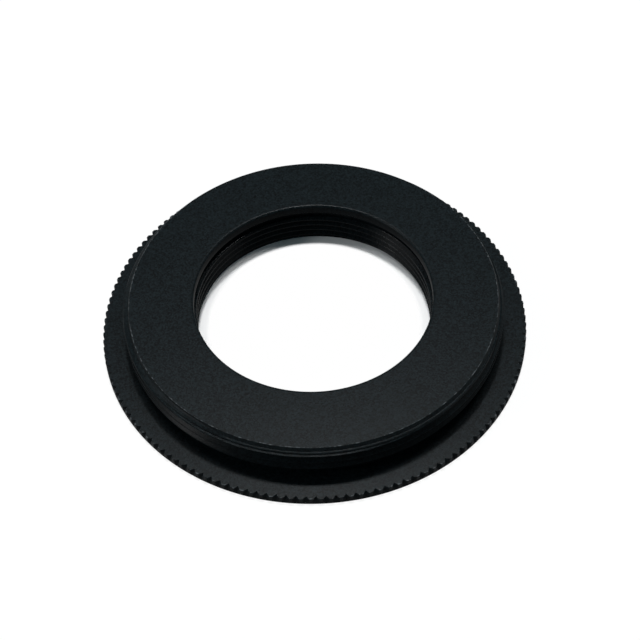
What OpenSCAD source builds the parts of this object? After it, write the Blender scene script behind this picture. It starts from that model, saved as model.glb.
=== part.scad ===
// Lens adapter ring, turned from one piece of aluminium bar.
// A threaded spigot screws into the camera or the tube. The flange below it
// stops it, and its knurled rim is what the fingers turn. The lens screws into
// the bore from the flange side and stops under a thin lip at the top.
// The ring lies on the flange's lower face, at z = 0, with its axis along Z.

/* [Spigot: the outside thread] */
// Outside diameter of the spigot's thread, over its crests
spigot_thread_d = 39; // [34:0.5:60]
// Height of the spigot above the flange
spigot_h = 4; // [3:0.1:10]
// Chamfer that leads the thread in, at the spigot's top edge
spigot_chamfer = 0.75; // [0.3:0.05:1]
// Depth of the groove at the spigot's foot, where the thread tool runs out
foot_groove_depth = 0.8; // [0.3:0.1:1]
// Height of the groove at the spigot's foot
foot_groove_h = 1.3; // [0.5:0.1:1.8]

/* [Flange and knurl] */
// How far the flange stands out past the spigot's thread
flange_w = 2.5; // [1.5:0.1:8]
// Thickness of the flange
flange_t = 0.8; // [0.6:0.1:3]
// Number of notches in the knurled rim
notch_count = 144; // [60:4:200]
// Depth of a knurl notch, at the flange's upper edge
notch_depth = 0.35; // [0.2:0.05:0.5]
// Angle between the two sides of a knurl notch
notch_angle = 90; // [60:5:110]
// Height of the plain rim left under the notches
rim_foot_h = 0.1; // [0.05:0.05:0.3]

/* [Bore: the inside thread] */
// Nominal diameter of the bore's thread, over its roots
bore_thread_d = 25; // [16:0.5:31]
// Pitch of the bore's thread
bore_thread_pitch = 0.75; // [0.5:0.05:1]
// Chamfer that leads the lens's thread in, at the bore's lower edge
bore_chamfer = 0.2; // [0.1:0.05:0.5]
// Thickness of the lip that stops the lens at the top of the bore
lip_t = 1; // [0.6:0.1:1.2]
// How far the lip's edge stands inside the roots of the bore's thread
lip_w = 0.25; // [0.1:0.05:0.6]
// Broken edge around the lip's upper rim
lip_edge = 0.15; // [0.1:0.05:0.4]
// Height of the groove under the lip, where the thread tool runs out
lip_groove_h = 0.7; // [0.3:0.1:0.8]
// Depth of the groove under the lip, past the roots of the bore's thread
lip_groove_depth = 0.2; // [0.1:0.05:0.5]

/* [Hidden] */
$fn = 180;

// Radial depth of the bore's thread, as a share of its pitch: five eighths of
// the height of its 60 degree triangle
thread_depth_share = 5 / 8 * sqrt(3) / 2;

spigot_r = spigot_thread_d / 2;
foot_r = spigot_r - foot_groove_depth;
flange_r = spigot_r + flange_w;
bore_root_r = bore_thread_d / 2;
bore_r = bore_root_r - thread_depth_share * bore_thread_pitch;
lip_r = bore_root_r - lip_w;
lip_groove_r = bore_root_r + lip_groove_depth;

top_z = flange_t + spigot_h;
foot_groove_top_z = flange_t + foot_groove_h;
lip_under_z = top_z - lip_t;
bore_thread_top_z = lip_under_z - lip_groove_h;

// How far a cutter reaches past the face it cuts, so that no skin is left
overcut = 0.5;

// The outside of the section, from the flange's lower edge up to the top face
outer_side = [
    [flange_r, 0],
    [flange_r, flange_t],
    [foot_r, flange_t],
    [foot_r, foot_groove_top_z],
    [spigot_r, foot_groove_top_z],
    [spigot_r, top_z - spigot_chamfer],
    [spigot_r - spigot_chamfer, top_z]
];

// The inside of the section, from the top face down to the bore's lower edge
inner_side = [
    [lip_r + lip_edge, top_z],
    [lip_r, top_z - lip_edge],
    [lip_r, lip_under_z],
    [lip_groove_r, lip_under_z],
    [lip_groove_r, bore_thread_top_z],
    [bore_r, bore_thread_top_z],
    [bore_r, bore_chamfer],
    [bore_r + bore_chamfer, 0]
];

// The turned blank: the whole section swept once around the axis
module turned_blank() {
    rotate_extrude()
        polygon(concat(outer_side, inner_side));
}

// One V of the knurl: a three-sided cutter. Its edge starts notch_depth inside
// the rim, at the flange's top, and slants down and out until it leaves the rim
// rim_foot_h above the lower face, so the rim's lower edge stays whole.
module notch_cutter() {
    notch_h = flange_t - rim_foot_h;
    slant = atan(notch_depth / notch_h);
    length = norm([notch_depth, notch_h]) + overcut;
    reach = notch_depth + overcut;
    half_w = reach * tan(notch_angle / 2);
    translate([flange_r - notch_depth, 0, flange_t])
        rotate([0, -slant, 0])
            translate([0, 0, -length])
                linear_extrude(length + overcut)
                    polygon([[0, 0], [reach, -half_w], [reach, half_w]]);
}

// The knurl: the same V rolled all the way round the rim, with a land, not a
// notch, on each of the four axis directions
module knurl_cutters() {
    step = 360 / notch_count;
    for (i = [0 : notch_count - 1])
        rotate([0, 0, (i + 0.5) * step])
            notch_cutter();
}

module adapter_ring() {
    color("#1c2122")
        difference() {
            turned_blank();
            knurl_cutters();
        }
}

adapter_ring();
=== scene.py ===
# %% [markdown]
# # A lens adapter ring, turned, knurled and anodised black
#
# The ring joins a lens to a camera. It is one piece of aluminium: a thin
# flange with a knurled rim, a short spigot with an outside thread, and a bore
# with an inside thread under a lip. The frame is the CAD model of the same
# ring, with plain walls where the threads belong. This script dresses it: it
# makes the ring again with real threads, worn edges and its black finish.

# %% Load the frame
import math

import bmesh
import bpy
import mathutils
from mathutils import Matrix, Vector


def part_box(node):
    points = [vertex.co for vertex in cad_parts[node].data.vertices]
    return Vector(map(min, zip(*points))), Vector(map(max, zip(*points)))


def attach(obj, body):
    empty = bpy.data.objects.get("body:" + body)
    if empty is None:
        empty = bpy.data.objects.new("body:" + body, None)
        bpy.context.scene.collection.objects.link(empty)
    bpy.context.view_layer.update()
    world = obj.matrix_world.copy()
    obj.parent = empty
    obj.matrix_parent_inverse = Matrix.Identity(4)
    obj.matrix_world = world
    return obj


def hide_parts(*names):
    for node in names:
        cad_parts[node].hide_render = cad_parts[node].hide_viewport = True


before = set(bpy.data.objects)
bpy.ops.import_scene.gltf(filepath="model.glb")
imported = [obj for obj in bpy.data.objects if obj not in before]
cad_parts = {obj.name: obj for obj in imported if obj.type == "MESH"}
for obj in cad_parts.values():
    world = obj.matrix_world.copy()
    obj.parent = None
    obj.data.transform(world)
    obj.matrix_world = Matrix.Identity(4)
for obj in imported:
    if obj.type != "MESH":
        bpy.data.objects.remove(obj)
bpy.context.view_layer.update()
ring_low, ring_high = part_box("adapter_ring")
print("the CAD ring spans, in mm:", [round(1000 * (b - a), 2) for a, b in zip(ring_low, ring_high)])

# %% [markdown]
# ## Sizes
#
# Every size is in metres, as Blender works. The overall radius and height come
# from the frame, so they can't drift from the CAD model. The rest repeats the
# CAD model's own sizes, each written once.

# %% Sizes of the ring
MM = 0.001

rim_r = ring_high[0]
top_z = ring_high[2]
flange_t = 0.8 * MM

spigot_r = 19.5 * MM
spigot_pitch = 1.0 * MM
spigot_chamfer = 0.75 * MM
top_edge_r = spigot_r - spigot_chamfer
chamfer_z = top_z - spigot_chamfer
foot_r = 18.7 * MM
foot_groove_top_z = 2.1 * MM

bore_root_r = 12.5 * MM
bore_pitch = 0.75 * MM
# Five eighths of the height of the thread's 60 degree triangle
bore_depth = 5 / 8 * math.cos(math.radians(30)) * bore_pitch
bore_r = bore_root_r - bore_depth
bore_chamfer = 0.2 * MM
lip_r = 12.25 * MM
lip_edge = 0.15 * MM
lip_under_z = top_z - 1.0 * MM
lip_groove_r = 12.7 * MM
bore_thread_top_z = lip_under_z - 0.7 * MM

notch_count = 144
notch_depth = 0.35 * MM
notch_half_angle = math.radians(45)
rim_foot_h = 0.1 * MM
# Just inside the notches, where the flange's two faces are whole
whole_flange_r = rim_r - notch_depth - 0.12 * MM

# How far blasting has broken a fine corner, and a turned edge
broken = 0.02 * MM
edge = 0.04 * MM

main_sizes = [round(length / MM, 3) for length in (rim_r, top_z, bore_r)]
print("rim radius, height and bore radius, in mm:", main_sizes)

# %% [markdown]
# ## The ring as a flat sheet
#
# On the lathe the ring is one section, turned through a full circle, so its
# skin can be laid out flat: one row for each point of the section and one
# column for each direction round the axis. In this flat sheet X is the radius,
# Y is the turn from 0 to 1, and Z is the height. Threads and knurl are simple
# rules there, and the last step rolls the sheet up and welds its seam.
#
# Columns stand at the corners of the knurl's notches, so that each comes out
# sharp. A corner gets two columns, close together, and so a narrow bevel.

# %% The columns: five for each notch
notch_spacing = 2 * math.pi * rim_r / notch_count
notch_slant = math.atan2(notch_depth, flange_t - rim_foot_h)
notch_half_w = notch_depth * math.cos(notch_slant) * math.tan(notch_half_angle)
corner = notch_half_w / notch_spacing
bevel = broken / notch_spacing

column_places = [
    0.5 - corner - bevel,
    0.5 - corner + bevel,
    0.5,
    0.5 + corner - bevel,
    0.5 + corner + bevel,
]
# How worn each of those columns is on the rim: most at a notch's two corners
column_wear = [1, 1, 0.1, 1, 1]

columns = [0.0] + [(i + place) / notch_count for i in range(notch_count) for place in column_places] + [1.0]
wear_of_column = [0.5] + column_wear * notch_count + [0.5]
print(len(columns), "columns,", round(notch_spacing / MM, 3), "mm from notch to notch")

# %% [markdown]
# ## The form of a metric thread
#
# Both threads are 60 degree threads: flat crests, straight flanks, flat roots.
# Along one pitch, an outside thread has a crest of an eighth of the pitch, and
# an inside thread has one of a quarter. Rows that a thread will cut climb with
# it, so that every corner of its form has rows of its own. Each corner gets
# two of them, a few hundredths of a millimetre apart, so it comes out slightly
# broken, as blasting leaves it.

# %% Rows along one pitch
# The standard depth of an outside thread
spigot_depth = 0.6134 * spigot_pitch
flank_slope = math.tan(math.radians(30))
# Half the width of a crest, as a share of the pitch
spigot_crest_half = 1 / 16
bore_crest_half = 1 / 8
# How far the rows of a corner lie from it, along the pitch
spigot_rounding = 0.03 * MM
bore_rounding = 0.028 * MM


def form_places(pitch, depth, crest_half, rounding):
    """Where the rows lie along one pitch, from root to root, each with its wear."""
    crest_at = 0.5 - crest_half
    root_half = crest_at - depth * flank_slope / pitch
    r = rounding / pitch
    half = [(root_half - r, 0.0), (root_half + r, 0.0), (crest_at - r, 0.3), (crest_at + r, 0.5)]
    return root_half, half + [(1 - place, wear) for place, wear in reversed(half)]


spigot_root_half, spigot_places = form_places(
    spigot_pitch, spigot_depth, spigot_crest_half, spigot_rounding)
bore_root_half, bore_places = form_places(bore_pitch, bore_depth, bore_crest_half, bore_rounding)
print(len(spigot_places), "rows for each turn of a thread")

# %% Kinds of row: plain, cut by a thread, or climbing with it
NO_THREAD, SPIGOT_THREAD, BORE_THREAD = 0, 1, 2

# A row is its radius, height, thread, climb, wear and share of a notch
rows = []


def turned(radius, height, wear=0.0, rim=0.0, thread=NO_THREAD):
    """Adds a level row. rim says how much of a knurl notch it takes."""
    rows.append((radius, height, thread, 0.0, wear, rim))


def climbing(thread, radius, low, high, pitch, places):
    """Rows that climb with a thread, past both ends for a whole turn."""
    turns = range(math.floor(low / pitch) - 2, math.ceil(high / pitch) + 2)
    ladder = [((n + place) * pitch, wear) for n in turns for place, wear in places]
    first = max(i for i, (height, wear) in enumerate(ladder) if height <= low - pitch)
    last = min(i for i, (height, wear) in enumerate(ladder) if height >= high)
    return [(radius, height, thread, 1.0, wear, 0.0) for height, wear in ladder[first:last + 1]]


def groove_corner(radius, height, sideways, upwards, from_wall=False):
    """Three level rows round an inner corner, which a tool with a blunt tip leaves round."""
    steps = [(0.1 * MM, 0.0), (0.03 * MM, 0.03 * MM), (0.0, 0.1 * MM)]
    if from_wall:
        steps.reverse()
    for across, up in steps:
        turned(radius + sideways * across, height + upwards * up)


# %% [markdown]
# ## The section
#
# The section is walked once round, from the rim's lower edge up the outside,
# over the top and down the bore. On the chamfer the turning tool has left two
# fine steps, which show as thin light lines all round the spigot's top edge.
# The thread cuts the chamfer too, so its last turn eats into them. A row on a
# flat face, close beside an edge, keeps the edge's wear and its shading from
# spreading over the face.

# %% The outside of the section
groove_top_bevel = 0.05 * MM
top_edge_bevel = 0.07 * MM

turned(rim_r - edge, 0.0, 0.2)
turned(rim_r, edge, 0.2)
turned(rim_r, rim_foot_h)
turned(rim_r, flange_t - edge, 0.7, 1.0)
turned(rim_r - edge, flange_t, 1.0, 1.0)
turned(whole_flange_r, flange_t)
turned(foot_r + 0.5 * MM, flange_t)
groove_corner(foot_r, flange_t, 1, 1)
turned(foot_r, foot_groove_top_z - groove_top_bevel)
turned(foot_r + groove_top_bevel, foot_groove_top_z)

rows += climbing(SPIGOT_THREAD, spigot_r, foot_groove_top_z, chamfer_z, spigot_pitch, spigot_places)

# Radius and height above the chamfer's foot, in mm, with the wear of each row
chamfer_steps = [
    (19.48, 0.04, 0.1),
    (19.43, 0.12, 0.2),
    (19.26, 0.17, 0.2),
    (19.21, 0.33, 0.0),
    (19.18, 0.35, 0.3),
    (19.05, 0.38, 0.2),
    (18.95, 0.52, 0.0),
    (18.86, 0.70, 0.4),
]
for radius_mm, above_mm, wear in chamfer_steps:
    turned(radius_mm * MM, chamfer_z + above_mm * MM, wear, thread=SPIGOT_THREAD)
turned(top_edge_r + top_edge_bevel, top_z, 1.0)
turned(top_edge_r, top_z, 0.8)
turned(top_edge_r - 0.15 * MM, top_z)
print(len(rows), "rows so far")

# %% The top face and the bore
# The lip's rim has a bevel, with its two corners broken
turned(lip_r + 2 * lip_edge, top_z)
turned(lip_r + lip_edge + broken, top_z, 0.4)
turned(lip_r + lip_edge - broken, top_z - broken, 0.4)
turned(lip_r + broken, top_z - lip_edge + broken, 0.2)
turned(lip_r, top_z - lip_edge - broken)
turned(lip_r, lip_under_z + edge, 0.4)
turned(lip_r + 0.03 * MM, lip_under_z, 0.4)
groove_corner(lip_groove_r, lip_under_z, -1, -1)
groove_corner(lip_groove_r, bore_thread_top_z, -1, 1, from_wall=True)

rows += reversed(climbing(BORE_THREAD, bore_r, bore_chamfer, bore_thread_top_z, bore_pitch, bore_places))

turned(bore_r + 0.5 * bore_chamfer, 0.5 * bore_chamfer, 0.3, thread=BORE_THREAD)
turned(bore_r + bore_chamfer, 0.0, 0.3, thread=BORE_THREAD)
turned(bore_root_r + 0.1 * MM, 0.0)
turned(whole_flange_r, 0.0)
print(len(rows), "rows round the section")

# %% [markdown]
# ## Building the sheet
#
# The sheet is a plain grid of quads, made from lists of points and faces. The
# section is a closed loop, so the last row joins the first. Four numbers are
# kept at each point for later: which thread cuts it, whether it climbs with
# that thread, how much of a notch it takes, and how worn it is.

# %% Build the sheet
points = []
kept = {"thread": [], "climb": [], "rim": [], "wear": []}
for radius, height, thread, climb, wear, rim in rows:
    for turn, wear_here in zip(columns, wear_of_column):
        points.append((radius, turn, height))
        kept["thread"].append(thread)
        kept["climb"].append(climb)
        kept["rim"].append(rim)
        kept["wear"].append(wear * wear_here if rim else wear)

across = len(columns)
faces = []
for i in range(len(rows)):
    here = i * across
    above = (i + 1) % len(rows) * across
    for j in range(across - 1):
        faces.append((here + j, here + j + 1, above + j + 1, above + j))

sheet = bpy.data.meshes.new("adapter_ring_sheet")
sheet.from_pydata(points, [], faces)
for name, values in kept.items():
    attribute = sheet.attributes.new(name, "FLOAT", "POINT")
    attribute.data.foreach_set("value", values)
ring = bpy.data.objects.new("adapter_ring_dressed", sheet)
bpy.context.scene.collection.objects.link(ring)
print(len(points), "points and", len(faces), "faces in the sheet")

# %% [markdown]
# ## Node trees
#
# One small function adds a node: it takes the node's type, what goes into its
# inputs, and its settings. An input is either a value or another node's output.

# %% Adding a node, and hex colours
def add(tree, kind, inputs=None, **settings):
    """Adds a node of this kind to a tree, with its settings, values and links."""
    node = tree.nodes.new(kind)
    for name, value in settings.items():
        setattr(node, name, value)
    for key, value in (inputs or {}).items():
        if isinstance(value, bpy.types.NodeSocket):
            tree.links.new(value, node.inputs[key])
        else:
            node.inputs[key].default_value = value
    return node


def linear(hex_colour):
    """An sRGB hex colour, such as #1c2122, as linear red, green, blue, alpha."""
    channels = [int(hex_colour[i:i + 2], 16) / 255 for i in (1, 3, 5)]
    return tuple(c / 12.92 if c <= 0.04045 else ((c + 0.055) / 1.055) ** 2.4 for c in channels) + (1.0,)


print("half grey, #808080, is", round(linear("#808080")[0], 3), "as linear light")

# %% [markdown]
# ## Black anodised aluminium
#
# The blank is bead blasted before it is anodised, which leaves a fine, even
# grain of shallow dents, about a tenth of a millimetre across. The oxide layer
# is a clear, hard film with black dye in its pores, so to the eye it is a very
# dark, slightly blue-green coat over satin metal. It is not quite even, and it
# is thin on sharp edges, where metal shows as fine pale specks.
#
# The dents are small cells, each a little lighter or darker than the next and
# hollow in the middle. At their real size they are too fine for the picture, so
# they are drawn at 0.14 mm. The specks come from the wear kept at each point,
# broken up by a noise, whose blotches are half as wide as its unit. Blasting
# hardly reaches into the bore, so its thread is smoother than the rest and
# glints.

# %% The finish of the ring
grain_mm = 0.14
dent_depth_mm = 0.007
cloud_mm = 1.6
cloud_share = 0.12
speck_mm = 0.18
blotch = 0.5
# From how much wear the metal starts to show, where it shows most, and how much
worn_from = 0.42
worn_most = 0.65
bare_share = 0.3
spigot_roughness = 0.33
bore_roughness = 0.22
# Far below the usual 0.5, because the ring in the photograph is nearly matt
film_gloss = 0.078

anodised = bpy.data.materials.new("black_anodised_bead_blasted_aluminium")
anodised.use_nodes = True
tree = anodised.node_tree
tree.nodes.clear()

place = add(tree, "ShaderNodeTexCoord").outputs["Object"]
grain = add(tree, "ShaderNodeTexVoronoi", {"Vector": place, "Scale": 1 / (grain_mm * MM)}, feature="F1")
clouds = add(tree, "ShaderNodeTexNoise",
             {"Vector": place, "Scale": blotch / (cloud_mm * MM), "Detail": 3.0})
specks = add(tree, "ShaderNodeTexNoise",
             {"Vector": place, "Scale": blotch / (speck_mm * MM), "Detail": 1.0})

dent_tone = add(tree, "ShaderNodeSeparateColor", {0: grain.outputs["Color"]})
dye_share = add(tree, "ShaderNodeMix",
                {"Factor": cloud_share, "A": dent_tone.outputs[0], "B": clouds.outputs["Fac"]},
                data_type="FLOAT")
dye = add(tree, "ShaderNodeMix",
          {"Factor": dye_share.outputs[0], "A": linear("#000203"), "B": linear("#141c1f")},
          data_type="RGBA")

worn = add(tree, "ShaderNodeAttribute", attribute_name="wear")
speckled = add(tree, "ShaderNodeMath",
               {0: worn.outputs["Fac"], 1: specks.outputs["Fac"]}, operation="MULTIPLY")
bare = add(tree, "ShaderNodeMapRange",
           {0: speckled.outputs[0], 1: worn_from, 2: worn_most, 3: 0.0, 4: bare_share})
colour = add(tree, "ShaderNodeMix",
             {"Factor": bare.outputs[0], "A": dye.outputs[2], "B": linear("#7f868a")}, data_type="RGBA")

dents = add(tree, "ShaderNodeBump",
            {"Strength": 1.0, "Distance": dent_depth_mm * MM, "Height": grain.outputs["Distance"]})
thread_kind = add(tree, "ShaderNodeAttribute", attribute_name="thread")
roughness = add(tree, "ShaderNodeMapRange",
                {0: thread_kind.outputs["Fac"], 1: SPIGOT_THREAD, 2: BORE_THREAD,
                 3: spigot_roughness, 4: bore_roughness})
surface = add(tree, "ShaderNodeBsdfPrincipled",
              {"Base Color": colour.outputs[2], "Roughness": roughness.outputs[0],
               "Specular IOR Level": film_gloss, "Normal": dents.outputs[0]})
add(tree, "ShaderNodeOutputMaterial", {"Surface": surface.outputs[0]})
print("finish:", anodised.name)

# %% [markdown]
# ## Cutting a thread
#
# A thread is a rule: the radius depends on the height less the turn times the
# pitch. A ping-pong of that number runs from 0 in the middle of a root to 0.5
# in the middle of a crest, and a clamped ramp turns it into the depth of cut.
# Geometry Nodes suit this, because one tree cuts both threads, each with its
# own inputs. A row keeps its own radius where the thread is less deep than
# that, so the thread fades out on a chamfer as it does on the real ring.
#
# Every tree here ends in Realize Instances and Set Material, so that what
# comes out is plain faces with their finish.

# %% Starting and ending a Geometry Nodes tree
def start_tree(name, input_names):
    """A new tree with a geometry input, named numbers and a geometry output."""
    tree = bpy.data.node_groups.new(name, "GeometryNodeTree")
    tree.interface.new_socket("Geometry", in_out="INPUT", socket_type="NodeSocketGeometry")
    for input_name in input_names:
        tree.interface.new_socket(input_name, in_out="INPUT", socket_type="NodeSocketFloat")
    tree.interface.new_socket("Geometry", in_out="OUTPUT", socket_type="NodeSocketGeometry")
    return tree, add(tree, "NodeGroupInput").outputs


def end_tree(tree, geometry):
    """Makes the last geometry real, gives it the ring's finish and hands it on."""
    realized = add(tree, "GeometryNodeRealizeInstances", {0: geometry})
    finished = add(tree, "GeometryNodeSetMaterial", {"Geometry": realized.outputs[0], "Material": anodised})
    add(tree, "NodeGroupOutput", {0: finished.outputs[0]})


# %% The thread tree
thread_tree, size = start_tree("cut_thread", [
    "Thread", "Pitch", "Crest radius", "Depth", "Root half", "Crest half", "Outside", "Low", "High"])

at_point = add(thread_tree, "GeometryNodeInputPosition")
where = add(thread_tree, "ShaderNodeSeparateXYZ", {0: at_point.outputs[0]})
turn = where.outputs["Y"]
climb = add(thread_tree, "GeometryNodeInputNamedAttribute", {"Name": "climb"}, data_type="FLOAT")
risen = add(thread_tree, "ShaderNodeMath",
            {0: turn, 1: size["Pitch"], 2: where.outputs["Z"]}, operation="MULTIPLY_ADD")
kept_in = add(thread_tree, "ShaderNodeClamp", {0: risen.outputs[0], 1: size["Low"], 2: size["High"]})
height = add(thread_tree, "ShaderNodeMix",
             {"Factor": climb.outputs["Attribute"], "A": where.outputs["Z"], "B": kept_in.outputs[0]},
             data_type="FLOAT").outputs[0]

in_pitches = add(thread_tree, "ShaderNodeMath", {0: height, 1: size["Pitch"]}, operation="DIVIDE")
along_form = add(thread_tree, "ShaderNodeMath", {0: in_pitches.outputs[0], 1: turn}, operation="SUBTRACT")
from_root = add(thread_tree, "ShaderNodeMath", {0: along_form.outputs[0], 1: 0.5}, operation="PINGPONG")
crest_starts = add(thread_tree, "ShaderNodeMath", {0: 0.5, 1: size["Crest half"]}, operation="SUBTRACT")
cut = add(thread_tree, "ShaderNodeMapRange",
          {0: from_root.outputs[0], 1: size["Root half"], 2: crest_starts.outputs[0],
           3: size["Depth"], 4: 0.0})

# Outside is 1 for a thread round a shaft and -1 for one in a bore
cut_signed = add(thread_tree, "ShaderNodeMath",
                 {0: cut.outputs[0], 1: size["Outside"]}, operation="MULTIPLY")
thread_r = add(thread_tree, "ShaderNodeMath",
               {0: size["Crest radius"], 1: cut_signed.outputs[0]}, operation="SUBTRACT")
signed_thread = add(thread_tree, "ShaderNodeMath",
                    {0: thread_r.outputs[0], 1: size["Outside"]}, operation="MULTIPLY")
signed_row = add(thread_tree, "ShaderNodeMath",
                 {0: where.outputs["X"], 1: size["Outside"]}, operation="MULTIPLY")
deeper = add(thread_tree, "ShaderNodeMath",
             {0: signed_thread.outputs[0], 1: signed_row.outputs[0]}, operation="MINIMUM")
radius = add(thread_tree, "ShaderNodeMath",
             {0: deeper.outputs[0], 1: size["Outside"]}, operation="MULTIPLY")

cut_point = add(thread_tree, "ShaderNodeCombineXYZ", {"X": radius.outputs[0], "Y": turn, "Z": height})
thread_here = add(thread_tree, "GeometryNodeInputNamedAttribute", {"Name": "thread"}, data_type="FLOAT")
is_mine = add(thread_tree, "FunctionNodeCompare",
              {0: thread_here.outputs["Attribute"], 1: size["Thread"], "Epsilon": 0.1}, operation="EQUAL")
moved = add(thread_tree, "GeometryNodeSetPosition",
            {"Geometry": size["Geometry"], "Selection": is_mine.outputs[0],
             "Position": cut_point.outputs[0]})
end_tree(thread_tree, moved.outputs[0])
print("thread tree:", len(thread_tree.nodes), "nodes")

# %% [markdown]
# ## Knurling the rim
#
# The real rim is rolled with a straight knurl: 144 V notches with a narrow
# land between two of them. They slant, deep at the flange's top and gone just
# above its lower face, whose edge stays whole. On the sheet that is again a
# ping-pong, of the turn times the number of notches, and each row says how
# much of the cut it takes.

# %% The knurl tree
knurl_tree, size = start_tree("cut_knurl", ["Notches", "Depth", "Notch share"])
at_point = add(knurl_tree, "GeometryNodeInputPosition")
where = add(knurl_tree, "ShaderNodeSeparateXYZ", {0: at_point.outputs[0]})
row_share = add(knurl_tree, "GeometryNodeInputNamedAttribute", {"Name": "rim"}, data_type="FLOAT")
in_notches = add(knurl_tree, "ShaderNodeMath",
                 {0: where.outputs["Y"], 1: size["Notches"]}, operation="MULTIPLY")
from_land = add(knurl_tree, "ShaderNodeMath", {0: in_notches.outputs[0], 1: 0.5}, operation="PINGPONG")
edge_at = add(knurl_tree, "ShaderNodeMath", {0: 0.5, 1: size["Notch share"]}, operation="SUBTRACT")
depth_here = add(knurl_tree, "ShaderNodeMapRange",
                 {0: from_land.outputs[0], 1: edge_at.outputs[0], 2: 0.5, 3: 0.0, 4: size["Depth"]})
inward = add(knurl_tree, "ShaderNodeMath",
             {0: depth_here.outputs[0], 1: row_share.outputs["Attribute"]}, operation="MULTIPLY")
outward = add(knurl_tree, "ShaderNodeMath", {0: inward.outputs[0], 1: -1.0}, operation="MULTIPLY")
shift = add(knurl_tree, "ShaderNodeCombineXYZ", {"X": outward.outputs[0]})
moved = add(knurl_tree, "GeometryNodeSetPosition",
            {"Geometry": size["Geometry"], "Offset": shift.outputs[0]})
end_tree(knurl_tree, moved.outputs[0])
print("knurl tree:", len(knurl_tree.nodes), "nodes")

# %% [markdown]
# ## Rolling the sheet up
#
# The last tree turns the sheet into a ring: the turn becomes an angle, and
# points that meet at the seam, or where a thread runs out on a face, are
# welded. A micrometre is enough, because they meet exactly.

# %% The rolling tree
roll_tree, size = start_tree("roll_up", ["Weld distance"])
at_point = add(roll_tree, "GeometryNodeInputPosition")
where = add(roll_tree, "ShaderNodeSeparateXYZ", {0: at_point.outputs[0]})
angle = add(roll_tree, "ShaderNodeMath", {0: where.outputs["Y"], 1: 2 * math.pi}, operation="MULTIPLY")
cosine = add(roll_tree, "ShaderNodeMath", {0: angle.outputs[0]}, operation="COSINE")
sine = add(roll_tree, "ShaderNodeMath", {0: angle.outputs[0]}, operation="SINE")
x = add(roll_tree, "ShaderNodeMath", {0: where.outputs["X"], 1: cosine.outputs[0]}, operation="MULTIPLY")
y = add(roll_tree, "ShaderNodeMath", {0: where.outputs["X"], 1: sine.outputs[0]}, operation="MULTIPLY")
rolled = add(roll_tree, "ShaderNodeCombineXYZ",
             {"X": x.outputs[0], "Y": y.outputs[0], "Z": where.outputs["Z"]})
moved = add(roll_tree, "GeometryNodeSetPosition",
            {"Geometry": size["Geometry"], "Position": rolled.outputs[0]})
welded = add(roll_tree, "GeometryNodeMergeByDistance",
             {"Geometry": moved.outputs[0], "Distance": size["Weld distance"]})
end_tree(roll_tree, welded.outputs[0])
print("rolling tree:", len(roll_tree.nodes), "nodes")

# %% Run the trees on the sheet
def run(tree, values):
    """Puts a tree on the ring as a modifier, with its named inputs set."""
    modifier = ring.modifiers.new(tree.name, "NODES")
    modifier.node_group = tree
    for item in tree.interface.items_tree:
        if item.in_out == "INPUT" and item.name in values:
            modifier[item.identifier] = float(values[item.name])


run(thread_tree, {
    "Thread": SPIGOT_THREAD, "Pitch": spigot_pitch, "Crest radius": spigot_r, "Depth": spigot_depth,
    "Root half": spigot_root_half, "Crest half": spigot_crest_half, "Outside": 1,
    "Low": foot_groove_top_z, "High": chamfer_z,
})
run(thread_tree, {
    "Thread": BORE_THREAD, "Pitch": bore_pitch, "Crest radius": bore_r, "Depth": bore_depth,
    "Root half": bore_root_half, "Crest half": bore_crest_half, "Outside": -1,
    "Low": bore_chamfer, "High": bore_thread_top_z,
})
run(knurl_tree, {"Notches": notch_count, "Depth": notch_depth, "Notch share": corner})
run(roll_tree, {"Weld distance": 0.001 * MM})

evaluated = ring.evaluated_get(bpy.context.evaluated_depsgraph_get())
solid = bpy.data.meshes.new_from_object(evaluated)
ring.modifiers.clear()
ring.data = solid
ring.data.name = "adapter_ring_dressed"
print("rolled up:", len(solid.vertices), "points,", len(solid.polygons), "faces")

# %% [markdown]
# ## Checking the skin
#
# A turned part has no holes in its skin, so every edge must have two faces,
# and the volume must come out positive, which means that the faces look
# outwards. Edges where the skin turns by more than 34 degrees stay sharp.

# %% Close, turn outwards and shade
too_short = 0.0005 * MM
sharp_from = math.radians(34)

form = bmesh.new()
form.from_mesh(solid)
bmesh.ops.dissolve_degenerate(form, dist=too_short, edges=form.edges)
bmesh.ops.recalc_face_normals(form, faces=form.faces)
if form.calc_volume(signed=True) < 0:
    bmesh.ops.reverse_faces(form, faces=form.faces)
open_edges = sum(1 for e in form.edges if len(e.link_faces) != 2)
volume = form.calc_volume(signed=True) / MM ** 3
form.to_mesh(solid)
form.free()
solid.polygons.foreach_set("use_smooth", [True] * len(solid.polygons))
solid.set_sharp_from_angle(angle=sharp_from)
solid.update()
triangles = sum(len(p.vertices) - 2 for p in solid.polygons)
print("open edges:", open_edges, "volume, mm3:", round(volume, 1), "triangles:", triangles)

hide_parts("adapter_ring")
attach(ring, "root")

# %% [markdown]
# ## Floor
#
# The ring lies on a plain white sheet. In the photograph the lamps make it as
# bright as white can be, all round the ring, and its shadow shows along the
# bore's foot. So to the camera the sheet is matt white paper close to the
# bore's wall and under the ring, an even white, of strength 1, in the middle,
# and mostly that past the rim. As a source of bounced light it is a mid grey,
# so that the bore stays as dark as it is, and gloss sees it a little paler.

# %% The floor
floor_half = 1.2
floor_corners = [(floor_half * x, floor_half * y, 0) for x, y in ((-1, -1), (1, -1), (1, 1), (-1, 1))]
floor_mesh = bpy.data.meshes.new("floor")
floor_mesh.from_pydata(floor_corners, [], [(0, 1, 2, 3)])
floor = bpy.data.objects.new("floor", floor_mesh)
bpy.context.scene.collection.objects.link(floor)

# In the bore the even white fades out over this ring, towards the wall
white_until = bore_r - 1.1 * MM
paper_from = bore_r - 0.7 * MM
white_past_rim = 0.85
white_in_gloss = 0.2

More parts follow.
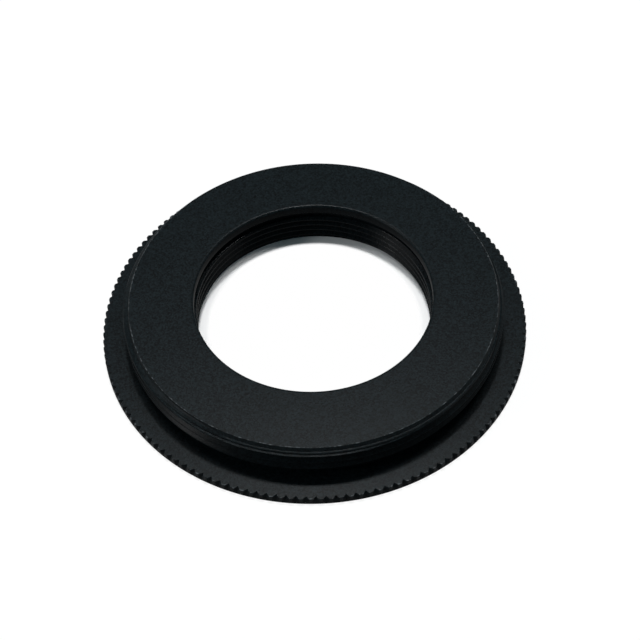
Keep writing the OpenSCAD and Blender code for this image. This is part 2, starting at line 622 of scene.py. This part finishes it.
paper = bpy.data.materials.new("matt_white_paper")
paper.use_nodes = True
tree = paper.node_tree
tree.nodes.clear()
ray = add(tree, "ShaderNodeLightPath")
on_sheet = add(tree, "ShaderNodeTexCoord").outputs["Object"]
from_axis = add(tree, "ShaderNodeVectorMath", {0: on_sheet}, operation="LENGTH")
in_middle = add(tree, "ShaderNodeMapRange",
                {0: from_axis.outputs["Value"], 1: white_until, 2: paper_from, 3: 1.0, 4: 0.0})
past_rim = add(tree, "ShaderNodeMapRange",
               {0: from_axis.outputs["Value"], 1: bore_root_r, 2: rim_r, 3: 0.0, 4: white_past_rim})
even_share = add(tree, "ShaderNodeMath",
                 {0: in_middle.outputs[0], 1: past_rim.outputs[0]}, operation="MAXIMUM")
white_paper = add(tree, "ShaderNodeBsdfDiffuse", {"Color": linear("#f4f4f4")})
even_white = add(tree, "ShaderNodeEmission", {"Color": linear("#ffffff"), "Strength": 1.0})
to_camera = add(tree, "ShaderNodeMixShader",
                {0: even_share.outputs[0], 1: white_paper.outputs[0], 2: even_white.outputs[0]})

in_gloss = add(tree, "ShaderNodeMath",
               {0: ray.outputs["Is Glossy Ray"], 1: ray.outputs["Is Transmission Ray"]},
               operation="MAXIMUM")
gloss_share = add(tree, "ShaderNodeMath", {0: in_gloss.outputs[0], 1: white_in_gloss}, operation="MULTIPLY")
mid_grey = add(tree, "ShaderNodeBsdfDiffuse", {"Color": linear("#7a7a7a")})
to_others = add(tree, "ShaderNodeMixShader",
                {0: gloss_share.outputs[0], 1: mid_grey.outputs[0], 2: even_white.outputs[0]})
sheet_seen = add(tree, "ShaderNodeMixShader",
                 {0: ray.outputs["Is Camera Ray"], 1: to_others.outputs[0], 2: to_camera.outputs[0]})
add(tree, "ShaderNodeOutputMaterial", {"Surface": sheet_seen.outputs[0]})
floor_mesh.materials.append(paper)
print("floor:", 2 * floor_half, "m across")

# %% [markdown]
# ## Light
#
# The shadow in the photograph is sharp in front of the spigot and soft at its
# sides, which is the mark of a small lamp with a long, narrow one beside it,
# both behind the ring and high up. They rake the top face, which is brightest
# in front, and leave the front wall black. A wide panel at the left and a weak
# one at the right light the threads at the two sides, and a small lamp at the
# left, a little lower, makes the crests in the bore glint. The world adds a
# little cool fill. To the camera it is white, and gloss sees it as pale walls
# under a dark ceiling, which is what a small photo studio is.

# %% Lamps and world
def lamp(name, place, width, depth, watts):
    """A flat lamp at a place in metres, its width along X, tipped about X to face the ring."""
    data = bpy.data.lights.new(name, "AREA")
    data.shape = "RECTANGLE"
    data.size = width
    data.size_y = depth
    data.energy = watts
    made = bpy.data.objects.new(name, data)
    made.location = place
    made.rotation_euler = (-math.atan2(place[1], place[2]), 0, 0)
    bpy.context.scene.collection.objects.link(made)
    return made


def panel(name, place, across, watts):
    """A round lamp that faces the ring from any side."""
    made = lamp(name, place, across, across, watts)
    made.data.shape = "DISK"
    made.rotation_mode = "QUATERNION"
    made.rotation_quaternion = mathutils.Vector(place).to_track_quat("Z", "Y")
    return made


lamp("key_lamp", (0.000, 0.158, 0.575), 0.05, 0.05, 2.0)
lamp("strip_lamp", (0.03, 0.158, 0.575), 0.50, 0.04, 1.9)
panel("left_panel", (-0.58, -0.05, 0.40), 0.45, 0.55)
panel("left_lamp", (-0.60, -0.19, 0.34), 0.10, 0.6)
panel("right_panel", (0.56, -0.02, 0.42), 0.40, 0.2)

# Where the pale walls give way to the ceiling, as the height of a direction of
# length 1, and how white gloss sees each of them
walls_end = 0.15
ceiling_starts = 0.6
wall_in_gloss = 0.5
ceiling_in_gloss = 0.05
fill_strength = 0.12

world = bpy.data.worlds.new("studio")
bpy.context.scene.world = world
world.use_nodes = True
tree = world.node_tree
tree.nodes.clear()
ray = add(tree, "ShaderNodeLightPath")
in_gloss = add(tree, "ShaderNodeMath",
               {0: ray.outputs["Is Glossy Ray"], 1: ray.outputs["Is Transmission Ray"]},
               operation="MAXIMUM")
direction = add(tree, "ShaderNodeTexCoord").outputs["Generated"]
towards = add(tree, "ShaderNodeSeparateXYZ", {0: direction})
white_walls = add(tree, "ShaderNodeMapRange",
                  {0: towards.outputs["Z"], 1: walls_end, 2: ceiling_starts,
                   3: wall_in_gloss, 4: ceiling_in_gloss})
seen_white = add(tree, "ShaderNodeMath",
                 {0: in_gloss.outputs[0], 1: white_walls.outputs[0], 2: ray.outputs["Is Camera Ray"]},
                 operation="MULTIPLY_ADD")
cool_fill = add(tree, "ShaderNodeBackground", {"Color": linear("#a9cdd9"), "Strength": fill_strength})
white_wall = add(tree, "ShaderNodeBackground", {"Color": linear("#ffffff"), "Strength": 1.0})
surroundings = add(tree, "ShaderNodeMixShader",
                   {0: seen_white.outputs[0], 1: cool_fill.outputs[0], 2: white_wall.outputs[0]})
add(tree, "ShaderNodeOutputWorld", {"Surface": surroundings.outputs[0]})

# %% [markdown]
# ## Camera
#
# The view was worked out from the ring's circles in the photograph: a camera
# 141 mm away, looking down at 51 degrees, with a slight tilt. Its focal length
# is in pixels of the 640 pixel frame, and becomes millimetres on a 36 mm
# sensor.

# %% The camera
frame_px = 640
focal_px = 1338.8
sensor_mm = 36.0
look_down = math.radians(51.05)
tilt = math.radians(-2.40)
aim = (0.60 * MM, 0.35 * MM, 0.0)
distance = 140.62 * MM

camera_data = bpy.data.cameras.new("camera")
camera_data.sensor_width = sensor_mm
camera_data.lens = focal_px / frame_px * sensor_mm
camera_data.clip_start = 0.005
camera = bpy.data.objects.new("camera", camera_data)
camera.location = (aim[0], aim[1] - distance * math.cos(look_down), aim[2] + distance * math.sin(look_down))
camera.rotation_mode = "XYZ"
upright = mathutils.Euler((math.pi / 2 - look_down, 0, 0)).to_matrix()
camera.rotation_euler = (upright @ mathutils.Matrix.Rotation(tilt, 3, "Z")).to_euler()
bpy.context.scene.collection.objects.link(camera)
bpy.context.scene.camera = camera
bpy.context.scene.view_settings.view_transform = "Standard"
print("camera lens:", round(camera_data.lens, 2), "mm")
